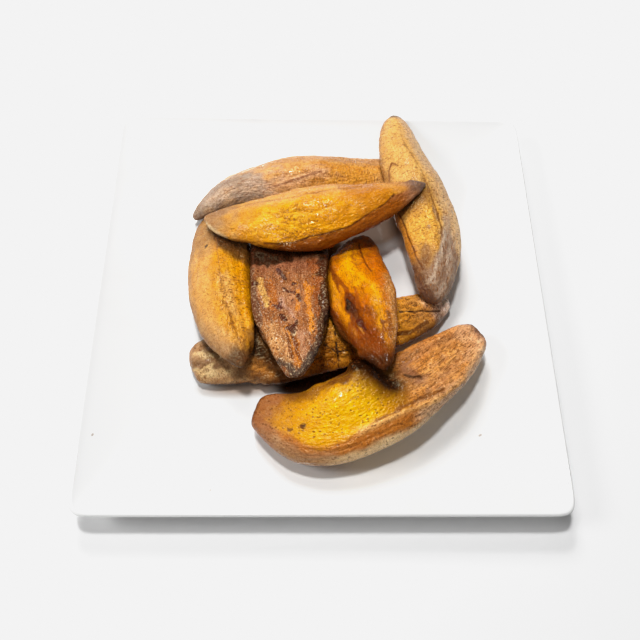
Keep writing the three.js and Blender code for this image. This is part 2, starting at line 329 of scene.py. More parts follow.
class Half:
    """One fried half: its skin laid out along and round its middle line, with relief, colours and marks.
    Places on it are (mm along that line, degrees round it from the top), and widths are in mm. Ragged makes
    an edge uneven, and shift picks another random pattern for it."""

    MARKS = ("bars", "fibres", "wrinkles", "specks", "dust_and_glints", "brown", "crease", "char", "shine")
    VOXEL = 0.6
    SOFTEN = 8
    NEAR = 16
    FINE = (2, 1.2, 1.2)
    STRIDE = 17.3
    SEED_BROWN = (0.085, 0.01, 0.006)
    FOOT_BROWN_AND_SHADE = (0.15, 0.06, 0.022)
    PRESSED_SHADE_BROWN = (0.035, 0.012, 0.004)

    def __init__(self, node, middle_line, flesh, swell=0.3):
        self.node = node
        self.piece = copy_of(node, node + "_crust")
        worked(self.piece, "SUBSURF", levels=2, render_levels=2)
        worked(self.piece, "REMESH", mode="VOXEL", voxel_size=self.VOXEL / 1000)
        worked(self.piece, "SMOOTH", factor=0.5, iterations=self.SOFTEN)
        count = len(self.piece.data.vertices)
        flat = np.empty(count * 3)
        self.piece.data.vertices.foreach_get("co", flat)
        self.points = flat.reshape(-1, 3) * 1000
        self.piece.data.vertices.foreach_get("normal", flat)
        self.outward = flat.reshape(-1, 3).copy()
        self.lift = np.full(count, swell)
        self.flesh = np.tile(np.array(flesh, float), (count, 1))
        self.marks = {name: np.zeros(count) for name in self.MARKS}
        self.lay_out(np.array(middle_line, float))
        others = skin_of([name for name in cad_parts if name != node])
        near = [others.find_nearest(point, self.NEAR)[3] for point in self.points]
        self.gap = np.array([self.NEAR if gap is None else gap for gap in near])

    def lay_out(self, line):
        """Gives each point of the skin its place along and round a smooth curve through the middle line."""
        line = np.vstack([2 * line[0] - line[1], line, 2 * line[-1] - line[-2]])
        walk = []
        for stage in np.linspace(0, len(line) - 3, 300):
            first = min(int(stage), len(line) - 4)
            a, b, c, d = line[first:first + 4]
            t = stage - first
            square = 2 * a - 5 * b + 4 * c - d
            cube = 3 * b - a - 3 * c + d
            walk.append(0.5 * (2 * b + (c - a) * t + square * t**2 + cube * t**3))
        walk = np.array(walk)
        ahead = np.gradient(walk, axis=0)
        ahead /= np.linalg.norm(ahead, axis=1)[:, None]
        far = np.r_[0, np.cumsum(np.linalg.norm(np.diff(walk, axis=0), axis=1))]
        nearest = ((walk**2).sum(1) - 2 * self.points @ walk.T).argmin(1)
        offset = self.points - walk[nearest]
        ahead = ahead[nearest]
        aside = np.cross(ahead, (0, 0, 1))
        aside /= np.linalg.norm(aside, axis=1)[:, None]
        above = np.cross(aside, ahead)
        side = (offset * aside).sum(1)
        up = (offset * above).sum(1)
        self.along = far[nearest] + (offset * ahead).sum(1)
        self.around = np.degrees(np.arctan2(side, up))
        self.reach = np.hypot(side, up)
        self.laid = np.column_stack([self.along, side, up])
        self.length = far[-1]

    def grain(self, size, shift=0):
        return scatter(self.laid + shift * self.STRIDE, size)

    def trace(self, path):
        """Points of the skin, in mm, close together along a path of places."""
        path = [np.array(place, float) for place in path]
        stops = [path[0]]
        for start, end in zip(path, path[1:]):
            parts = int(max(abs(end - start) / (6, 15))) + 1
            stops += [start + (end - start) * part / parts for part in range(1, parts + 1)]
        turn = np.radians(1) * self.reach
        trace = []
        for along, around in stops:
            aside = ((self.around - around + 180) % 360 - 180) * turn
            trace.append(self.points[np.argmin((self.along - along) ** 2 + aside**2)])
        return trace

    def away(self, path):
        """Distance in mm from a path on the skin."""
        nearest = np.full(len(self.points), np.inf)
        trace = self.trace(path)
        for start, end in zip(trace, trace[1:] or trace):
            step = end - start
            share = np.clip((self.points - start) @ step / max(step @ step, 1e-9), 0, 1)
            gap = self.points - start - share[:, None] * step
            nearest = np.minimum(nearest, (gap**2).sum(1))
        return np.sqrt(nearest)

    def line(self, path, width, ragged=0, shift=0):
        """1 on a path and falling softly to 0 about a width away."""
        away = self.away(path)
        if ragged:
            away = away * (1 + ragged * self.grain((5, 2.5, 2.5), shift))
            away = away + ragged * width * 0.3 * self.grain(self.FINE, shift + 1)
        return np.exp(-((away / width) ** 2))

    def patch(self, along, around, long, wide, ragged=0.3):
        """1 over an oval spot and falling to 0 at its edge."""
        u = self.along - along
        v = self.away([(along, around)]) ** 2 - u**2
        away = np.hypot(u / long, np.sqrt(np.maximum(v, 0)) / wide)
        away = away + ragged * self.grain((6, 3, 3)) * 0.5
        away = away + ragged * self.grain((2, 1.4, 1.4), 1) * 0.4
        return 1 - soft_step(away, 0.45, 1.25)

    def near_tip(self, reach, end=False, ragged=0.4, shift=3):
        """1 at a tip and falling to 0 a reach away from it."""
        away = (self.length - self.along) if end else self.along
        away = away + ragged * reach * self.grain((5, 4, 4), shift) * 0.6
        return 1 - soft_step(away, 0.25 * reach, reach)

    def past(self, path, soft=2, ragged=1, shift=5):
        """0 where the angle round is less than on a lengthwise line, and 1 where it is more."""
        path = np.array(path, float)
        limit = np.interp(self.along, path[:, 0], path[:, 1])
        beyond = (self.around - limit) * np.radians(1) * self.reach
        beyond = beyond + ragged * self.grain((5, 3, 3), shift)
        beyond = beyond + 0.5 * ragged * self.grain(self.FINE, shift + 1)
        return soft_step(beyond, -soft, soft)

    def beyond(self, path, soft, ragged):
        """0 before a crosswise line, whose angles rise, and 1 from there to the far end."""
        path = np.array(path, float)
        limit = np.interp(self.around, path[:, 1], path[:, 0]) + ragged * self.grain((4, 3, 3), 8)
        return soft_step(self.along - limit, -soft, soft)

    def flank(self, start, end, ragged=10):
        """0 on the top and 1 down one side: between the two angles it changes softly."""
        around = self.around + ragged * self.grain((9, 4, 4), 5) + 0.5 * ragged * self.grain((3, 2, 2), 6)
        return soft_step(around, start, end) if end > start else soft_step(-around, -start, -end)

    def stretch(self, first, last, soft=8):
        """1 between two places along the half."""
        along = self.along + 0.6 * soft * self.grain((6, 4, 4), 7)
        return soft_step(along, first - soft, first + soft) * (1 - soft_step(along, last - soft, last + soft))

    def tint(self, colour, share, amount=1):
        """Colours the flesh where the share is over 0."""
        share = np.clip(share * amount, 0, 1)[:, None]
        self.flesh = self.flesh * (1 - share) + np.array(colour) * share

    def tip(self, colour, reach, amount, **edge):
        """Colours a tip."""
        self.tint(colour, self.near_tip(reach, **edge), amount)

    def smear(self, colour, path, width, ragged, amount, shift=0):
        """A streak of colour with soft edges."""
        self.tint(colour, self.line(path, width, ragged, shift), amount)

    def stroke(self, colour, path, width, amount=0.9, ragged=0.6):
        """A streak of colour with clear, uneven edges."""
        self.tint(colour, soft_step(self.line(path, width, ragged, 41), 0.2, 0.6), amount)

    def mark(self, kind, share, amount=1):
        """Adds to one kind of fine mark, which the finish then draws."""
        self.marks[kind] = 1 - (1 - self.marks[kind]) * (1 - np.clip(share * amount, 0, 1))

    def crack(self, path, width=0.6, depth=0.45, dark=0.9):
        """A split: a thin groove, dark inside, that comes and goes along its path."""
        away = self.away(path) + 0.6 * width * self.grain((3, 2, 2), 5)
        broken = 0.55 + 0.45 * self.grain((5, 5, 5), 6)
        self.lift -= depth * np.exp(-((away / (width + 0.25)) ** 2)) * (0.6 + 0.4 * broken)
        self.lift += 0.18 * depth * np.exp(-(((away - 2.2 * width) / (1.4 * width)) ** 2))
        self.mark("crease", np.exp(-((away / width) ** 2)) * soft_step(broken, 0.05, 0.5), dark)
        self.mark("brown", np.exp(-((away / (2.6 * width)) ** 2)), 0.35 * dark)

    def seam(self, path, colour, width, ragged=0.5, amount=0.9):
        """A thin dark line, as oil leaves along a fold of the skin."""
        share = self.line(path, width, ragged, 44) * (0.75 + 0.25 * self.grain((3, 3, 3), 45))
        self.lift -= 0.25 * share
        self.tint(colour, soft_step(share, 0.1, 0.7), amount)

    def crumb(self, path, width, colour=SEED_BROWN, rise=0.5, ragged=0.9):
        """A seed or a scrap of dark sugar stuck to the skin."""
        share = self.line(path, width, ragged, 41)
        self.lift += rise * share
        self.tint(colour, soft_step(share, 0.2, 0.5), 0.97)

    def crust(self, lumps, dimples, fine, foot_and_shade=0.6, pressed_shade=1):
        """The uneven skin that frying leaves. Round its foot it is browned and darkened with painted shade,
        and where it lies close against another half it is darkened with painted shade.
        """
        self.lift += lumps * self.grain((22, 11, 11), 1)
        self.lift += dimples * self.grain((6, 4, 4), 2) + fine * self.grain((2.6, 1.9, 1.9), 3)
        # Round the foot, where the skin faces down: browned, with painted shade as well.
        low = 1 - soft_step(self.outward[:, 2] + 0.12 * self.grain((6, 4, 4), 14), -0.25, 0.45)
        self.tint(self.FOOT_BROWN_AND_SHADE, low, foot_and_shade)
        # Painted shade where the skin lies close against another half.
        near = 1 - soft_step(self.gap + 1.2 * self.grain((5, 4, 4), 15), 1, 8.5)
        self.tint(self.PRESSED_SHADE_BROWN, near * pressed_shade, 0.95)

    def settle(self, share, most=2.5, reach=9):
        """Lets the soft flesh sink against the half beside it, where the gap to that is under the reach."""
        room = np.clip(0.42 * self.gap, 0, most) * (1 - soft_step(self.gap, 0.6 * reach, reach))
        self.lift += np.clip(share, 0, 1) * np.maximum(room - self.lift, 0)

    def ripple(self):
        """Raises and sinks the skin along its cross bars, lengthwise fibres and char."""
        bars = 1 - np.abs(self.grain((1.8, 8, 8), 6))
        fibres = 1 - np.abs(self.grain((14, 1.9, 1.9), 7))
        self.lift -= 0.22 * self.marks["bars"] * bars**5 + 0.25 * self.marks["fibres"] * fibres**5
        self.lift += 0.45 * self.marks["wrinkles"] * self.grain((3.2, 1.7, 1.7), 10)
        rough = self.grain((2.2, 2, 2), 12) + 0.6 * self.grain((1.2, 1.1, 1.1), 13)
        self.lift += 0.5 * self.marks["char"] * rough

    def keep(self, name, kind, field, values):
        """Stores values of the skin's points on the mesh, where the finish reads them."""
        attribute = self.piece.data.attributes.new(name, kind, "POINT")
        attribute.data.foreach_set(field, values.astype(np.float32).ravel())

    def finish(self, coat):
        """Raises the skin, never as far as its neighbours, and gives the piece its finish and its place."""
        self.ripple()
        lift = np.minimum(self.lift, 0.45 * self.gap)
        moved = (self.points + self.outward * lift[:, None]) / 1000
        mesh = self.piece.data
        mesh.vertices.foreach_set("co", moved.ravel())
        for name, values in self.marks.items():
            self.keep(name, "FLOAT", "value", values)
        self.keep("laid", "FLOAT_VECTOR", "vector", self.laid)
        self.keep("flesh", "FLOAT_COLOR", "color", np.column_stack([self.flesh, np.ones(len(self.flesh))]))
        mesh.update()
        bpy.ops.object.select_all(action="DESELECT")
        self.piece.select_set(True)
        bpy.context.view_layer.objects.active = self.piece
        bpy.ops.object.shade_smooth()
        mesh.materials.append(coat)
        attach(self.piece, "root")
        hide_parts(self.node)


BROWN = (0.13, 0.036, 0.007, 1)
CREASE = (0.045, 0.011, 0.002, 1)
CHAR = (0.045, 0.03, 0.024, 1)
WHITE = (1, 1, 1, 1)
CREAM_DUST_AND_GLINT = (1, 0.74, 0.42, 1)
GRIT = (0.34, 0.16, 0.09, 1)
CLOUD = (0.68, 0.49, 0.31, 1)
DIM = (0.45, 0.25, 0.11, 1)
WARM_GLOSS = (1, 0.82, 0.45, 1)


def fried(name, brown=BROWN, gloss=0.14, grain=0.3, grit=0.3, cloud=0.4, sheen=0.25, wet=0.35):
    """Fried plantain: sugary flesh under a thin coat of oil, with fine browned bars, fibres, wrinkles and
    specks. Grain, grit and cloud say how much its fine, finest and broad mottling shows, wet how much it
    glints."""
    coat = Finish(name, Specular_IOR_Level=sheen, Specular_Tint=WARM_GLOSS, Coat_Roughness=0.1,
                  Subsurface_Weight=0.05, Subsurface_Scale=0.002, Subsurface_Radius=(1, 0.4, 0.1))
    laid = coat.add("ShaderNodeAttribute", {"attribute_name": "laid"}, out=1)
    flesh = coat.add("ShaderNodeAttribute", {"attribute_name": "flesh"})
    mark = {kind: coat.add("ShaderNodeAttribute", {"attribute_name": kind}, out=2) for kind in Half.MARKS}
    fleck = coat.grain(laid, (1.3, 1, 1), 3, 0.7)
    bump = coat.grain(laid, (2.3, 1.5, 1.5), 1, 0.45)
    patchy = coat.grain(laid, (8, 4.5, 4.5), 3, 0.6)
    fine = coat.grain(laid, (0.6, 0.5, 0.5), 1)
    pale = coat.grain(laid, (1, 0.8, 0.8), 1)
    barred = coat.between(coat.grain(laid, (0.7, 2.6, 2.6), 2), 0.58, 0.66)
    streaked = coat.between(coat.grain(laid, (8, 0.9, 0.9), 2), 0.54, 0.68)
    fold = coat.grain(laid, (3, 1.8, 1.8), 2, 0.55) - 0.5
    fold = coat.add("ShaderNodeMath", {"operation": "ABSOLUTE"}, fold)
    folded = (1 - coat.between(fold, 0.005, 0.055)) * coat.between(patchy, 0.4, 0.58)
    dot = coat.add("ShaderNodeTexVoronoi", None, Vector=coat.stretched(laid, (2.6, 2, 2)), Scale=1)
    speckled = 1 - coat.between(dot + (patchy - 0.5) * 0.7, 0.12, 0.28)
    flesh = coat.shade(flesh, coat.mix(coat.between(patchy, 0.35, 0.62), WHITE, CLOUD), cloud)
    flesh = coat.shade(flesh, coat.mix(coat.between(fleck, 0.5, 0.64), WHITE, DIM), grain)
    flesh = coat.shade(flesh, coat.mix(coat.between(fine, 0.47, 0.6), WHITE, GRIT), grit)
    # Pale specks of sugar, which also serve as painted glints.
    flesh = coat.mix(coat.between(pale, 0.5, 0.72) * mark["dust_and_glints"], flesh, CREAM_DUST_AND_GLINT)
    for kind, share in zip(("bars", "fibres", "wrinkles", "specks"), (barred, streaked, folded, speckled)):
        flesh = coat.mix(share * mark[kind], flesh, brown)
    flesh = coat.mix(coat.between(mark["brown"] + (fleck - 0.5) * 1.2, 0.15, 0.95), flesh, brown)
    flesh = coat.mix(coat.between(mark["crease"] + (fleck - 0.5) * 0.5, 0.15, 0.85), flesh, CREASE)
    flesh = coat.mix(coat.between(mark["char"] + (fleck - 0.5) * 1.5, 0.2, 1), flesh, CHAR)
    coat.paint("Base Color", flesh)
    coat.paint("Coat Weight", coat.between(pale + (patchy - 0.5) * 0.5, 0.5, 0.62) * mark["shine"] * wet)
    rough = gloss + fleck * 0.16 - mark["shine"] * 0.08
    coat.paint("Roughness", rough + mark["char"] * 0.25 + mark["crease"] * 0.35)
    height = bump * 0.9 - fleck * 0.25 - folded * (mark["wrinkles"] * 0.4) - barred * (mark["bars"] * 0.25)
    coat.emboss(height - streaked * (mark["fibres"] * 0.25), 0.001, 0.9)
    return coat.material


BOTTOM_LINE = [(-76, -49, 13), (-55, -41, 13.5), (-10, -32, 13.5), (38, -19, 13.5), (78, -3, 13)]
OLIVE_GOLD = (0.62, 0.215, 0.012)
PAINTED_HIGHLIGHT_CREAM = (0.95, 0.7, 0.34)

bottom = Half("bottom_half", BOTTOM_LINE, OLIVE_GOLD)
# Dull left end with painted highlights in pale streaks, orange middle, and a pale mauve right end.
bottom.tip((0.46, 0.27, 0.13), 56, 0.9, ragged=0.5, shift=4)
bottom.smear((0.2, 0.1, 0.045), [(2, 0), (10, 33), (20, 52)], 4, 0.6, 0.8)
# Painted highlights: pale cream streaks where the left end glints.
bottom.smear(PAINTED_HIGHLIGHT_CREAM, [(5, -50), (9, -12), (14, 6)], 1.6, 1, 0.75)
bottom.smear(PAINTED_HIGHLIGHT_CREAM, [(3, 44), (7, 62), (15, 60), (20, 66)], 1.8, 1, 0.75)
bottom.smear((0.66, 0.4, 0.18), [(18, 76), (30, 76), (44, 84)], 4, 0.6, 0.8)
bottom.tint((0.8, 0.32, 0.05), bottom.patch(41, 62, 12, 8), 0.9)
bottom.tint((0.95, 0.4, 0.03), bottom.stretch(112, 146), 0.85)
bottom.tip((0.74, 0.34, 0.09), 40, 0.85, end=True)
# Painted light: the mauve right end is made paler than it is, to lift the right half's shadow on it.
bottom.tip((1, 0.74, 0.6), 19, 0.9, end=True)
# Painted shade beside and under the halves that lean on it.
bottom.smear((0.06, 0.018, 0.004), [(126, 92), (138, 84), (150, 80)], 4.5, 0.5, 0.9)
bottom.smear((0.1, 0.04, 0.015), [(27, 70), (29, 55), (30, 30)], 4, 0.5, 0.8)
bottom.smear((0.07, 0.022, 0.006), [(34, 0), (40, 22), (48, 44)], 7, 0.5, 0.9)
bottom.tint((0.1, 0.028, 0.008), bottom.patch(52, 62, 8, 10, 0.6), 0.8)
bottom.stroke((0.16, 0.05, 0.01), [(118, 55), (128, 66), (140, 62)], 1.2)
# Skin, the bright stretch between two leaning halves, and painted shade in the gaps beside it.
bottom.crust(0.5, 0.4, 0.2, 0.2, 1 - bottom.stretch(132, 190))
bottom.settle(bottom.flank(50, 80, 0) * bottom.stretch(40, 150), 4.5, 14)
bottom.smear((0.8, 0.34, 0.03), [(87, -30), (85, 8), (85, 43), (86, 66)], 5, 0.5, 0.8)
bottom.smear((0.09, 0.03, 0.01), [(38, 76), (45, 84), (53, 87), (75, 86)], 5, 0.5, 0.85)
# More painted light on the right end, against the right half's shadow.
bottom.tip((1, 0.8, 0.66), 13, 0.7, end=True)
bottom.smear((0.03, 0.01, 0.004), [(38, -52), (39, -20), (39, 6), (41, 24)], 4.5, 0.4, 0.92)
# Cracks across it, and one along its right end.
bottom.crack([(78, 37), (83, 56), (90, 58)])
bottom.crack([(85, 10), (84, 50), (83, 90)])
bottom.crack([(92, 10), (93, 50), (92, 90)], dark=0.6)
bottom.crack([(126, 2), (139, 18), (152, 53)])
# Fine marks and gloss.
bottom.mark("bars", 1, 0.6)
bottom.mark("wrinkles", bottom.stretch(60, 161), 0.9)
bottom.mark("brown", bottom.flank(72, 100), 0.6)
bottom.mark("shine", bottom.line([(6, -22), (10, -1), (14, 8)], 6, 0.6), 0.9)
bottom.mark("shine", bottom.line([(6, 42), (10, 57), (15, 70)], 6, 0.6), 0.9)
bottom.mark("shine", bottom.stretch(76, 150), 0.8)
bottom.finish(fried("bottom_flesh", grain=0.45, sheen=0.3))


# ------------------------------------------------------------------ back half
# A long half at the back, lying on the plate with its outer side up: ochre orange, with a dull film of dried
# sugar on its left and close brown cross streaks at its right.

BACK_LINE = [(-82, 56, 13), (-61, 74, 14), (-16, 84, 15), (27, 85, 14.5), (65, 95, 13.5)]
OCHRE = (0.86, 0.44, 0.12)
BACK_MARKS = (0.26, 0.08, 0.02, 1)

back = Half("back_half", BACK_LINE, OCHRE, swell=0.9)
# Pale far side, browner right part, and a reddish fold that runs down to the right.
back.tint((0.95, 0.52, 0.2), back.flank(-15, -45) * back.stretch(50, 130), 0.8)
back.tint((0.76, 0.33, 0.03), back.patch(104, 10, 30, 14, 0.5), 0.9)
back.smear((0.8, 0.46, 0.26), [(35, 48), (47, 43), (62, 38), (76, 26), (89, 12)], 5, 0.8, 0.7)
back.stroke((0.3, 0.11, 0.05), [(40, 46), (52, 42), (64, 36), (78, 25), (90, 10)], 0.8, 0.7)
# The film of dried sugar on the left end, with grey streaks in it.
back.tip((0.92, 0.62, 0.36), 66, 0.8, ragged=0.45)
back.smear((0.62, 0.47, 0.38), [(16, -25), (28, -7), (37, 7), (47, 13)], 7, 0.8, 0.8)
back.smear((0.24, 0.17, 0.13), [(33, 50), (46, 51)], 4, 0.8, 0.8)
back.tip((0.3, 0.22, 0.17), 14, 0.8)
back.smear((0.36, 0.28, 0.22), [(4, -20), (11, -6), (18, -8), (26, -14), (34, -8), (44, -6)], 4.5, 0.8, 0.8)
back.tint((0.5, 0.25, 0.09), back.flank(-10, -34, 5) * back.stretch(36, 170), 0.55)
back.crust(0.5, 0.3, 0.14, 0.3, 0.1)
# Painted light: a pale strip along the front side under the top half, to lift the shade there.
back.smear((1, 0.74, 0.52), [(16, 36), (28, 43), (39, 43), (52, 40)], 4, 0.5, 0.5)
# Fine marks and gloss.
back.mark("bars", back.stretch(95, 150), 0.6)
back.mark("bars", 1, 0.35)
back.mark("specks", 1, 0.3)
back.mark("fibres", back.stretch(20, 70), 0.5)
back.mark("wrinkles", back.patch(80, 20, 22, 10, 0.6), 0.6)
back.mark("shine", back.stretch(60, 140), 0.6)
back.finish(fried("back_flesh", brown=BACK_MARKS, gloss=0.18))


# ------------------------------------------------------------------ front half
# The largest half, curved round the front of the pile, cut side up: a smooth golden mound at the left, and at
# the right a browned, fibrous face with a channel across it and a raised rim.

FRONT_LINE = [(-38, -76, 18), (-3, -88, 24), (36, -71, 26), (68, -50, 24.5), (92, -28, 22.5)]
GOLDEN_YELLOW = (0.72, 0.32, 0)
MOUND_EDGE = [(26, 44), (38, 56), (46, 50)]
RIM = [(56, 47), (64, 47), (73, 49), (82, 52), (92, 57), (105, 64), (120, 66)]

front = Half("front_half", FRONT_LINE, GOLDEN_YELLOW)
rim = front.line(RIM, 1.8, 0.3)
face = soft_step(front.along + 2.5 * front.grain((6, 4, 4), 21), 80, 92)
# The raised rim, and the channel across the cut face.
front.lift += 0.9 * rim
front.lift -= 2.6 * front.line([(80, -60), (82, -35), (85, -12)], 5)
# The golden mound.
front.tint((0.9, 0.44, 0), front.patch(47, 6, 24, 17, 0.4), 0.85)
front.tint((0.98, 0.54, 0), front.patch(60, -6, 18, 16, 0.2), 0.9)
front.tip((0.58, 0.24, 0.012), 34, 0.8)
# The browned face, with paler and darker fibres.
front.tint((0.8, 0.31, 0.062), face, 0.95)
front.tint((0.94, 0.45, 0.12), face * front.line([(98, 22), (118, 35), (146, 30)], 8, 0.8, 22), 0.9)
front.tip((0.94, 0.52, 0.26), 26, 0.8, end=True, ragged=0.5, shift=23)
front.smear((0.44, 0.2, 0.09), [(96, -72), (112, -52), (132, -48)], 4, 0.8, 0.5, 24)
front.smear((0.5, 0.22, 0.09), [(104, 48), (118, 38), (134, 28)], 3.5, 0.9, 0.6, 33)
front.smear((0.34, 0.15, 0.085), [(95, -40), (97, -10), (98, 10)], 5, 0.9, 0.8, 25)
front.smear((0.4, 0.18, 0.11), [(104, 60), (113, 62)], 3, 0.9, 0.7, 26)
# The side under the rim: orange brown above, and pale fawn below, painted paler than it is as painted light.
front.tint((0.5, 0.17, 0.024), front.past(MOUND_EDGE + RIM, 1.2, 0.8, 27))
front.tint((1, 0.72, 0.38),
           front.past([(20, 62), (35, 67), (51, 68), (61, 67), (72, 69), (90, 75), (120, 84)], 1.8, 0.8, 28))
front.smear((1, 0.72, 0.44), [(91, 64), (108, 74), (125, 75), (142, 75)], 5, 0.8, 0.7)
front.tint((0.4, 0.2, 0.09),
           front.past([(0, 40), (20, 52), (36, 62)], 2, 0.8, 29) * front.stretch(-10, 44), 0.9)
front.tint((0.9, 0.48, 0.15), rim, 0.8)
# Painted shade along the far edge, a brown left tip, and painted deep shade under the inner half's tip.
front.smear((0.24, 0.085, 0.012), [(10, -62), (30, -55), (50, -60), (68, -64)], 5, 0.6, 0.8)
front.smear((0.07, 0.022, 0.004), [(66, -68), (72, -64), (80, -54)], 7, 0.5, 0.9)
front.tip((0.36, 0.13, 0.045), 24, 0.9, shift=30)
front.smear((0.16, 0.05, 0.006), [(72, -76), (76, -45), (80, -22)], 11, 0.2, 0.8, 31)
front.smear((0.025, 0.007, 0.002), [(73, -80), (78, -52), (82, -28), (85, -12)], 7.5, 0.2, 1.1, 32)
front.smear((0.66, 0.28, 0.08), [(100, 48), (112, 50), (126, 44), (136, 30)], 3.5, 0.8, 0.5)
front.crust(0.35, 0.22, 0.1, 0, front.flank(-20, -60, 0))
front.stroke((0.02, 0.006, 0.002), [(69, -88), (71, -74), (73, -60)], 4)
front.settle(front.flank(-40, -70, 0) * front.stretch(26, 90), 4.5, 14)
# A split under the rim, and scorched spots.
front.crack([(35, 58), (43, 61), (51, 60), (61, 59), (72, 60), (90, 66)], 0.7, 0.4, dark=0.35)
front.seam([(66, 44), (76, 45), (86, 46), (96, 50), (106, 56)], (0.28, 0.1, 0.02), 1, 0.9)
front.mark("brown", front.patch(31, 18, 3.6, 2.6, 0.9), 0.8)
front.mark("crease", front.patch(32, 14, 1.6, 1.3, 0.9), 0.7)
front.mark("brown", front.patch(26, 34, 2.4, 1.2, 0.9), 0.7)
front.mark("brown", front.line([(54, -62), (59, -55), (65, -49)], 2.5, 0.9), 0.7)
front.mark("crease", front.line([(93, -25), (96, -6), (100, 3)], 1.6, 0.9), 0.8)
front.mark("brown", front.near_tip(5), 0.8)
front.mark("brown", front.near_tip(5, end=True), 0.8)
front.tip((0.4, 0.2, 0.13), 9, 0.6, end=True, ragged=0.6)
# Fine marks and gloss.
front.mark("specks", 1, 0.65)
front.mark("wrinkles", face, 0.6)
front.mark("fibres", face, 0.55)
front.mark("bars", front.past(MOUND_EDGE + RIM), 0.35)
front.mark("shine", face, 0.7)
front.mark("shine", front.patch(52, -10, 26, 20, 0.5), 0.8)
front.finish(fried("front_flesh", wet=0.18))


# ------------------------------------------------------------------ left half
# A half that points towards the front, outer side up: orange gold with fine cross cracks, a seam down its
# middle, and a dark grey tip on the bottom half.

LEFT_LINE = [(-68, 61, 10), (-64, 32, 13), (-62, 6, 18), (-58, -21, 24.5), (-45, -57, 36)]
ORANGE_GOLD = (0.8, 0.35, 0.012)
LEFT_MARKS = (0.2, 0.055, 0.008, 1)

left = Half("left_half", LEFT_LINE, ORANGE_GOLD, swell=0.6)
# Duller outer side, deep gold inner side and brown far end.
left.tint((0.8, 0.43, 0.12), left.flank(-5, 45) * left.stretch(0, 118), 0.85)
left.tint((0.92, 0.38, 0), left.flank(-25, -50), 0.9)
left.tint((0.4, 0.22, 0.095), left.stretch(-10, 38), 0.7)
# Brown along the outer edge, and pale streaks down the glossy crest, partly painted highlight.
left.smear((0.42, 0.23, 0.12), [(50, 92), (71, 86), (89, 78), (106, 70), (117, 48)], 5, 0.5, 0.7)
left.smear((0.6, 0.35, 0.14), [(84, 80), (93, 62), (104, 57), (114, 40)], 6, 0.5, 0.7)
left.smear((1, 0.56, 0.16), [(66, -14), (76, -22), (84, -26), (92, -30)], 4, 0.6, 0.7)
left.smear((0.98, 0.48, 0.08), [(98, -40), (108, -48)], 5, 0.5, 0.5)
# The deep shade under the top half, and brown along the foot.
shade = 1 - left.beyond([(54, -85), (51, -70), (49, -58), (45, -31), (38, 0), (28, 14), (5, 26)], 4, 2)
left.tint((0.07, 0.026, 0.01), shade, 0.9)
left.tint((0.4, 0.21, 0.08), left.flank(56, 80, 6), 0.6)
left.smear((0.36, 0.19, 0.08), [(94, 92), (104, 82), (114, 68), (121, 50)], 5, 0.5, 0.7)
left.crust(0.35, 0.24, 0.12, 0.6, 0.7)
left.settle(left.flank(-45, -75, 0))
# The lengthwise seam, two cross cracks and the dark tip.
left.seam([(28, 6), (41, 3), (52, -3), (64, -4), (71, -8)], (0.32, 0.13, 0.03), 0.4, 0.5, 0.7)
left.seam([(84, -14), (91, -18), (100, -20), (108, -29), (116, -45)], (0.38, 0.13, 0.015), 0.6, 0.9, 0.7)
left.seam([(64, -8), (66, -30), (65, -72)], (0.4, 0.15, 0.02), 0.5, 0.5, 0.8)
left.seam([(84, -60), (80, -40), (86, -24)], (0.4, 0.15, 0.02), 0.5, 0.8, 0.6)
left.tip((0.09, 0.045, 0.025), 15, 0.9, end=True)
left.smear((0.12, 0.05, 0.02), [(104, -86), (112, -80), (120, -70)], 3, 0.6, 0.8)
# A scorched spot, then fine marks and gloss.
left.mark("char", left.patch(35, 36, 2.2, 1.3), 0.8)
left.mark("bars", left.flank(10, -30) * left.stretch(30, 105), 0.7)
left.mark("bars", 1, 0.4)
left.mark("wrinkles", left.line([(64, -4), (82, -13), (100, -20), (112, -36)], 5, 0.6), 0.7)
left.mark("specks", 1, 0.25)
left.mark("shine", left.line([(60, -14), (76, -24), (95, -34), (108, -44)], 9, 0.5))
left.finish(fried("left_flesh", brown=LEFT_MARKS))


# ------------------------------------------------------------------ middle half
# A half with its cut side up, leaning on the bottom half: mottled mauve brown with orange streaks where the
# flesh shows, dark seeds down its middle, and a blackened, crusted edge.

MIDDLE_LINE = [(-21, 46, 16), (-19, -15, 31.5), (-16, -38, 38), (-16, -66, 44)]
MAUVE_BROWN = (0.42, 0.15, 0.04)
MIDDLE_MARKS = (0.09, 0.022, 0.008, 1)

middle = Half("middle_half", MIDDLE_LINE, MAUVE_BROWN)
middle.lift += 0.9 * middle.grain((18, 4, 4), 31)
# Mauve far part and paler lower part.
middle.tint((0.38, 0.15, 0.075), middle.stretch(20, 42), 0.8)
middle.tint((0.6, 0.28, 0.13), middle.patch(66, 15, 18, 9, 0.9), 0.7)
middle.smear((0.7, 0.35, 0.12), [(86, 81), (94, 82), (104, 74)], 5.5, 0.6, 0.9)
middle.smear((0.66, 0.35, 0.2), [(90, -30), (98, -46), (105, -58)], 4, 0.6, 0.8)
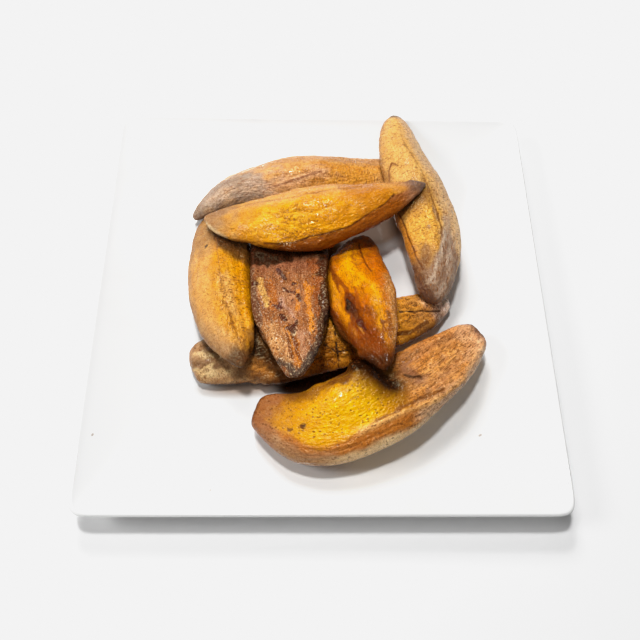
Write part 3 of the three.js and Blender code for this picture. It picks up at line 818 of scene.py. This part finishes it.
# Orange streaks where the flesh shows, and darker ones beside them.
for row in (
    ((0.55, 0.17, 0.02), [(48, 73), (59, 72), (68, 73)], 2.4),
    ((1, 0.6, 0.16), [(47, 78), (56, 77), (66, 76)], 2.2, 0.9),
    ((0.36, 0.09, 0.012), [(34, -70), (46, -70), (63, -70), (80, -69)], 3.2, 0.8),
    ((0.88, 0.32, 0.02), [(52, -63), (65, -64), (76, -64), (87, -62)], 1.5, 0.85, 1),
    ((0.9, 0.33, 0.03), [(56, -50), (64, -48), (72, -44)], 1.2, 0.8),
    ((0.95, 0.5, 0.2), [(86, 62), (95, 50), (103, 20)], 3),
    ((0.78, 0.28, 0.025), [(84, 60), (93, 29), (102, -18), (109, -50)], 2.4),
    ((0.22, 0.05, 0.008), [(82, 50), (92, 20), (101, -30), (107, -56)], 1.1),
    ((0.24, 0.06, 0.01), [(88, 66), (96, 60), (104, 44)], 0.9),
    ((1, 0.82, 0.5), [(84, 28), (88, 20)], 1.1),
    ((0.68, 0.42, 0.33), [(62, 60), (68, 50), (70, 20), (76, -10)], 1.4, 0.5, 1),
):
    middle.stroke(*row)
# Dark edges, browned and partly painted shade of the gaps, and painted deep shade under the top half.
middle.stroke((0.2, 0.085, 0.045), [(34, 86), (50, 84), (64, 85), (76, 88)], 2.6, 0.9)
middle.stroke((0.055, 0.016, 0.006), [(33, -77), (49, -78), (67, -77), (83, -73), (95, -69), (104, -66)],
              3.2, 0.9)
middle.tint((0.012, 0.003, 0.001), middle.stretch(-40, 31, 3), 0.97)
middle.stroke((0.012, 0.004, 0.001), [(34, 96), (33, 80), (31, 68), (29, 20)], 3.4)
middle.stroke((0.02, 0.006, 0.002), [(34, -92), (30, -78), (27, -62)], 3)
middle.crust(0.35, 0.3, 0.2, 0.6, 0.7)
middle.settle(middle.flank(50, 80, 0))
middle.settle(middle.flank(-50, -75, 0))
# Seeds and scraps of dark sugar down the middle.
for row in (
    ([(39, 64), (43, 54), (46, 40)], 1.4, (0.11, 0.045, 0.038), 0.6, 0.2),
    ([(54, 50), (56, 30), (56, 16)], 1.3),
    ([(56, -8), (57, -30)], 1.3, (0.12, 0.02, 0.012)),
    ([(60, -54), (65, -54)], 1),
    ([(66, 72), (69, 62)], 1.1, (0.16, 0.05, 0.04)),
    ([(74, 66), (78, 58)], 1.2),
    ([(84, 62), (86, 45), (84, 30)], 1.5),
    ([(50, 82), (51, 81)], 0.8),
    ([(63, -20), (64, -24)], 0.8),
):
    middle.crumb(*row)
# The blackened rim, with pale grains on it that are partly painted glints.
rim = middle.line([(74, -88), (92, -80), (104, -70), (113, -58), (117, 0), (113, 64), (106, 92)], 2.9, 0.8)
middle.tint((0.13, 0.07, 0.05), rim, 0.9)
middle.mark("char", rim, 0.7)
middle.mark("dust_and_glints", rim, 0.4)
middle.mark("dust_and_glints", middle.stretch(40, 125), 0.26)
middle.mark("dust_and_glints", middle.line([(80, 80), (94, 80), (106, 66)], 8, 0.5), 0.3)
# Fine marks and gloss.
middle.mark("bars", middle.stretch(28, 46), 0.6)
middle.mark("fibres", 1, 0.35)
middle.mark("wrinkles", 1, 0.3)
middle.mark("specks", 1, 0.85)
middle.mark("shine", middle.stretch(40, 108), 0.8)
middle.finish(fried("middle_flesh", brown=MIDDLE_MARKS, gloss=0.2, grain=0.6, grit=0.6, cloud=0.5,
                    sheen=0.12))


# ------------------------------------------------------------------ inner half
# A half with its cut side up, leaning on the bottom half beside the middle one: deep golden orange and almost
# clear with oil, split lengthwise down its middle.

INNER_LINE = [(28, 43, 14.5), (22, 18, 19.5), (25, -21, 35), (34, -60, 44.5)]
DEEP_ORANGE = (0.62, 0.15, 0)

inner = Half("inner_half", INNER_LINE, DEEP_ORANGE, swell=0.2)
inner.lift += 0.7 * inner.grain((20, 5, 5), 31)
# Bright gold where the flesh is clear, and deep brown along the split and the edges.
inner.smear((1, 0.44, 0.002), [(22, 45), (32, 30), (42, 34), (56, 6)], 7, 0.5, 0.9)
inner.smear((0.95, 0.38, 0.004), [(42, 76), (54, 70), (68, 72), (84, 70)], 3.5, 0.5, 0.9)
inner.smear((1, 0.46, 0.004), [(62, -22), (74, -28), (88, -26), (99, -12)], 4, 0.5, 0.9)
inner.smear((0.34, 0.05, 0), [(66, 56), (76, 54), (86, 62), (95, 48), (103, 25)], 4.5, 0.6, 0.85)
inner.smear((0.52, 0.14, 0), [(88, 50), (95, 38), (99, 20)], 5, 0.5, 0.7)
inner.smear((0.6, 0.27, 0.06), [(54, -52), (72, -57), (86, -58), (98, -59)], 3.8, 0.5, 0.85)
inner.smear((0.13, 0.022, 0.003), [(70, 94), (80, 90), (92, 86), (104, 84)], 3.5, 0.5, 0.9)
# Thin dark lines in and beside the split, and along the left edge.
for row in (
    ((0.24, 0.045, 0.003), [(38, 90), (49, 88), (61, 90), (71, 92)], 1.8),
    ((0.3, 0.065, 0.004), [(36, 74), (47, 63), (55, 55), (63, 48)], 1.3),
    ((0.26, 0.05, 0.003), [(42, 70), (52, 66), (58, 66)], 0.8),
    ((0.5, 0.15, 0.006), [(20, 30), (24, 18), (28, 26), (33, 14)], 0.9, 0.8),
    ((0.55, 0.17, 0.006), [(34, 24), (39, 8), (36, -12)], 0.8, 0.8),
    ((0.16, 0.025, 0.002), [(64, 50), (69, 51), (76, 49), (83, 49), (92, 38)], 3.4, 0.9, 1),
    ((0.05, 0.007, 0.002), [(68, 52), (76, 50), (83, 50), (89, 42)], 1.7, 0.95, 0.8),
    ((0.36, 0.08, 0.004), [(58, 30), (65, 30), (71, 36)], 1.2, 0.8, 0.9),
    ((0.2, 0.035, 0.003), [(76, 64), (83, 63), (91, 58)], 1.2),
    ((0.3, 0.07, 0.003), [(76, 36), (82, 26), (90, 20), (97, 8)], 0.9, 0.8),
    ((0.95, 0.42, 0.03), [(81, 57), (87, 56)], 0.7, 0.7),
    ((0.3, 0.1, 0.015), [(80, -45), (88, -48), (94, -43)], 1.2),
    ((0.32, 0.11, 0.02), [(88, -31), (96, -20)], 0.9),
    ((0.36, 0.12, 0.01), [(4, -64), (17, -64), (30, -62), (44, -60)], 1.6),
):
    inner.stroke(*row)
# Dark tips and lower part.
inner.smear((0.34, 0.075, 0), [(78, 8), (86, 14), (94, 26), (98, 50)], 6.5, 0.6, 0.8)
inner.tip((0.05, 0.014, 0.005), 19, 0.95, end=True)
inner.tip((0.22, 0.065, 0.006), 19, 0.85)
inner.stroke((0.1, 0.03, 0.005), [(6, 60), (14, 75), (24, 88)], 3.5, 0.8)
inner.smear((0.26, 0.04, 0), [(85, 44), (92, 34), (99, 15)], 5, 0.6, 0.7)
inner.tint((0.62, 0.17, 0), inner.patch(62, 2, 8, 5, 0.6), 0.6)
inner.stroke((0.2, 0.035, 0.003), [(44, 92), (56, 93), (66, 93)], 2.4, 0.8)
inner.crust(0.35, 0.3, 0.12)
inner.settle(inner.flank(45, 75, 0))
# A fine seam, and the split itself with dark crumbs in it.
inner.seam([(12, 12), (24, -13), (37, -18), (47, -29)], (0.12, 0.02, 0.002), 0.7, 0.4)
inner.lift -= 0.9 * inner.line([(38, 68), (46, 57), (56, 46), (68, 42), (78, 48), (90, 46)], 2, 0.5)
inner.crumb([(80, 50), (86, 44)], 1.1)
inner.crumb([(67, 56)], 1.2, (0.02, 0.008, 0.004))
# Fine marks and gloss.
inner.mark("fibres", 1, 0.25)
inner.mark("wrinkles", 1, 0.4)
inner.mark("specks", 1, 0.5)
# Pale specks, partly painted glints, along the lower edge.
inner.mark("dust_and_glints", inner.line([(58, -50), (86, -57), (98, -59)], 4, 0.5), 0.35)
inner.mark("bars", inner.flank(-30, -45), 0.4)
inner.mark("shine", 1, 0.75)
inner.finish(fried("inner_flesh", gloss=0.13, cloud=0.3, sheen=0.1, wet=0.18))


# ------------------------------------------------------------------ right half
# A long half at the right, outer side up, its far end over the rim: pale gold with two seams and fine cross
# cracks, and a dull mauve brown towards the front.

RIGHT_LINE = [(50, 134, 23), (52, 99, 26), (60, 69, 27.5), (68, 31, 25.5), (68, -10, 23)]
PALE_GOLD = (0.84, 0.48, 0.13)
RIGHT_MARKS = (0.24, 0.08, 0.02, 1)
DULL_FROM = [(134, -85), (116, -64), (104, -44), (103, -25), (111, -14), (117, -3), (124, 26), (128, 63)]

right = Half("right_half", RIGHT_LINE, PALE_GOLD, swell=0.8)
dull = right.beyond(DULL_FROM, 3, 2)
# Golden middle, fawn outer side and orange brown inner side.
right.tint((0.9, 0.46, 0.055), right.patch(96, 28, 26, 16, 0.4), 0.9)
right.tint((0.78, 0.5, 0.24), right.flank(-15, -45), 0.85)
right.tint((0.66, 0.24, 0.02),
           right.past([(0, 80), (60, 74), (86, 68), (104, 62), (124, 48)], 1.5, 0.6) * right.stretch(70, 150),
           0.85)
right.tint((0.66, 0.34, 0.1), right.flank(50, 75) * right.stretch(-10, 70), 0.7)
# Painted light: a pale streak down the lower right edge, lighter than its own colour.
right.smear((0.92, 0.62, 0.32), [(86, -62), (98, -64), (113, -68)], 4, 0.6, 0.7)
right.smear((0.42, 0.19, 0.06), [(123, 70), (125, 54), (122, 38), (116, 24)], 4.5, 0.6, 0.85)
# The dull near end, with dark streaks and pale ones that are partly painted sheen.
right.tint((0.36, 0.225, 0.15), dull, 0.95)
right.tip((0.2, 0.11, 0.065), 24, 0.55, end=True, ragged=0.5)
right.smear((0.56, 0.43, 0.32), [(96, -36), (112, -40), (133, -36), (145, -17)], 3.4, 1, 0.7)
right.smear((0.62, 0.5, 0.38), [(106, -22), (119, -10), (131, 14)], 1.4, 1, 0.6, 46)
right.smear((0.22, 0.11, 0.06), [(112, -30), (128, -22), (140, 0)], 1.4, 1, 0.6, 47)
right.stroke((0.12, 0.045, 0.025), [(126, 76), (131, 68), (139, 58), (145, 56)], 3.2)
right.tip((0.16, 0.09, 0.06), 7, 0.7, end=True)
# The shade of the top half's tip, the grey far tip, and brown along the foot.
right.smear((0.34, 0.15, 0.045), [(84, 55), (84, 30), (79, 0)], 5.5, 0.4, 0.7)
right.smear((0.09, 0.033, 0.012), [(82, 72), (81, 50), (79, 20)], 4, 0.4, 0.85)
right.tip((0.14, 0.1, 0.075), 8, 0.9, ragged=0.8)
right.smear((0.22, 0.09, 0.035), [(127, 66), (125, 52), (121, 38)], 5, 0.5, 0.8)
right.tint((0.45, 0.22, 0.07), right.flank(56, 82, 6) * right.stretch(-10, 74), 0.6)
right.crust(0.4, 0.24, 0.12, 0.2, 0.3)
# Its near end is a little hollow on both sides.
hollow = 2.2 * right.flank(58, 85, 0) * right.stretch(92, 132)
right.lift -= hollow + 1.4 * right.flank(-50, -80, 0) * right.stretch(118, 160)
# A lengthwise seam in two parts, one under the inner side, and a curved one at the far end.
right.seam([(27, -3), (38, -8), (49, -12), (64, -16), (74, -16)], (0.22, 0.07, 0.02), 0.45, 1.2, 0.5)
right.seam([(74, -16), (84, -16), (102, -20), (114, -18)], (0.14, 0.04, 0.01), 0.45, 0.8, 0.8)
right.seam([(84, 70), (89, 67), (102, 67), (119, 60), (127, 51)], (0.12, 0.025, 0.004), 0.6)
right.seam([(60, 71), (51, 62), (48, 49), (52, 36)], (0.24, 0.085, 0.03), 0.7)
# Fine marks and gloss.
right.mark("bars", 1 - dull, 0.7)
right.mark("fibres", dull, 0.8)
right.mark("wrinkles", right.line([(60, -18), (83, -15), (112, -10)], 4, 0.7), 0.6)
right.mark("specks", 1, 0.35)
right.mark("shine", right.stretch(20, 126), 0.6)
right.finish(fried("right_flesh", brown=RIGHT_MARKS, gloss=0.18))


# ------------------------------------------------------------------ top half
# The half across the top of the pile, outer side up: bright golden yellow and glossy, wrinkled where sugar
# caught, with a dark seam along its lower side.

TOP_LINE = [(-74, 48, 25.5), (-58, 44, 27), (-18, 42, 33), (24, 48, 38.5), (64, 63, 43.5)]
BRIGHT_GOLD = (0.9, 0.38, 0.002)
TOP_MARKS = (0.34, 0.11, 0.01, 1)
TOP_SEAM = [(41, 78), (53, 78), (61, 73), (67, 68), (78, 67), (90, 65), (102, 53), (112, 45), (120, 22)]

top = Half("top_half", TOP_LINE, BRIGHT_GOLD, swell=0.35)
# Duller far side, brown left end, bright middle, and dark brown under the seam, partly painted shade.
top.tint((0.84, 0.42, 0.1), top.flank(-12, -38), 0.9)
top.tip((0.74, 0.37, 0.075), 52, 0.8)
top.tip((0.39, 0.225, 0.12), 27, 0.85)
top.tint((1, 0.5, 0.015), top.patch(50, 30, 22, 14, 0.5), 0.7)
top.tint((0.56, 0.19, 0.01), top.stretch(92, 118), 0.7)
top.tint((0.34, 0.085, 0.006), top.past(TOP_SEAM, 0.9, 0.4) * top.stretch(42, 140), 0.95)
# The grey tip, and a pale nick at the left end.
top.tip((0.42, 0.2, 0.1), 28, 0.95, end=True, ragged=0.3)
top.tip((0.17, 0.12, 0.1), 15, 0.9, end=True, ragged=0.3)
top.smear((0.85, 0.66, 0.36), [(4, 80), (10, 79), (17, 85)], 1, 0, 0.9)
top.crust(0.4, 0.3, 0.16, 0.25, 0.1)
# The seam, a faint fold behind the crest, and a fuller tip and lower side.
top.seam(TOP_SEAM, (0.1, 0.02, 0.004), 0.6)
top.seam([(20, -50), (45, -42), (64, -30), (80, -38), (100, -50)], (0.34, 0.13, 0.03), 0.7, 1, 0.6)
top.lift += 1.6 * top.near_tip(14, end=True) + 2 * top.flank(66, 92, 0) * top.stretch(38, 76)
# Wrinkled sugar, glints painted in cream and made glossy, fine marks and gloss.
top.mark("wrinkles", top.patch(62, 34, 24, 14, 0.5), 0.9)
glints = (top.line([(72, -8), (78, 11), (82, 30)], 4, 0.7), top.line([(91, -6), (94, 7), (97, 20)], 3, 0.7),
          top.line([(42, 22), (45, 48)], 3, 0.7), top.line([(47, 58), (51, 72), (55, 80)], 3, 0.7))
for glint in glints:
    top.mark("dust_and_glints", glint, 0.5)
    top.mark("shine", glint)
top.mark("wrinkles", 1, 0.2)
top.mark("bars", 1, 0.3)
top.mark("specks", 1, 0.3)
top.mark("brown", top.patch(66, 36, 12, 6, 0.9), 0.4)
top.mark("shine", top.stretch(24, 108), 0.95)
top.finish(fried("top_flesh", brown=TOP_MARKS, gloss=0.12, grain=0.2, wet=0.5))
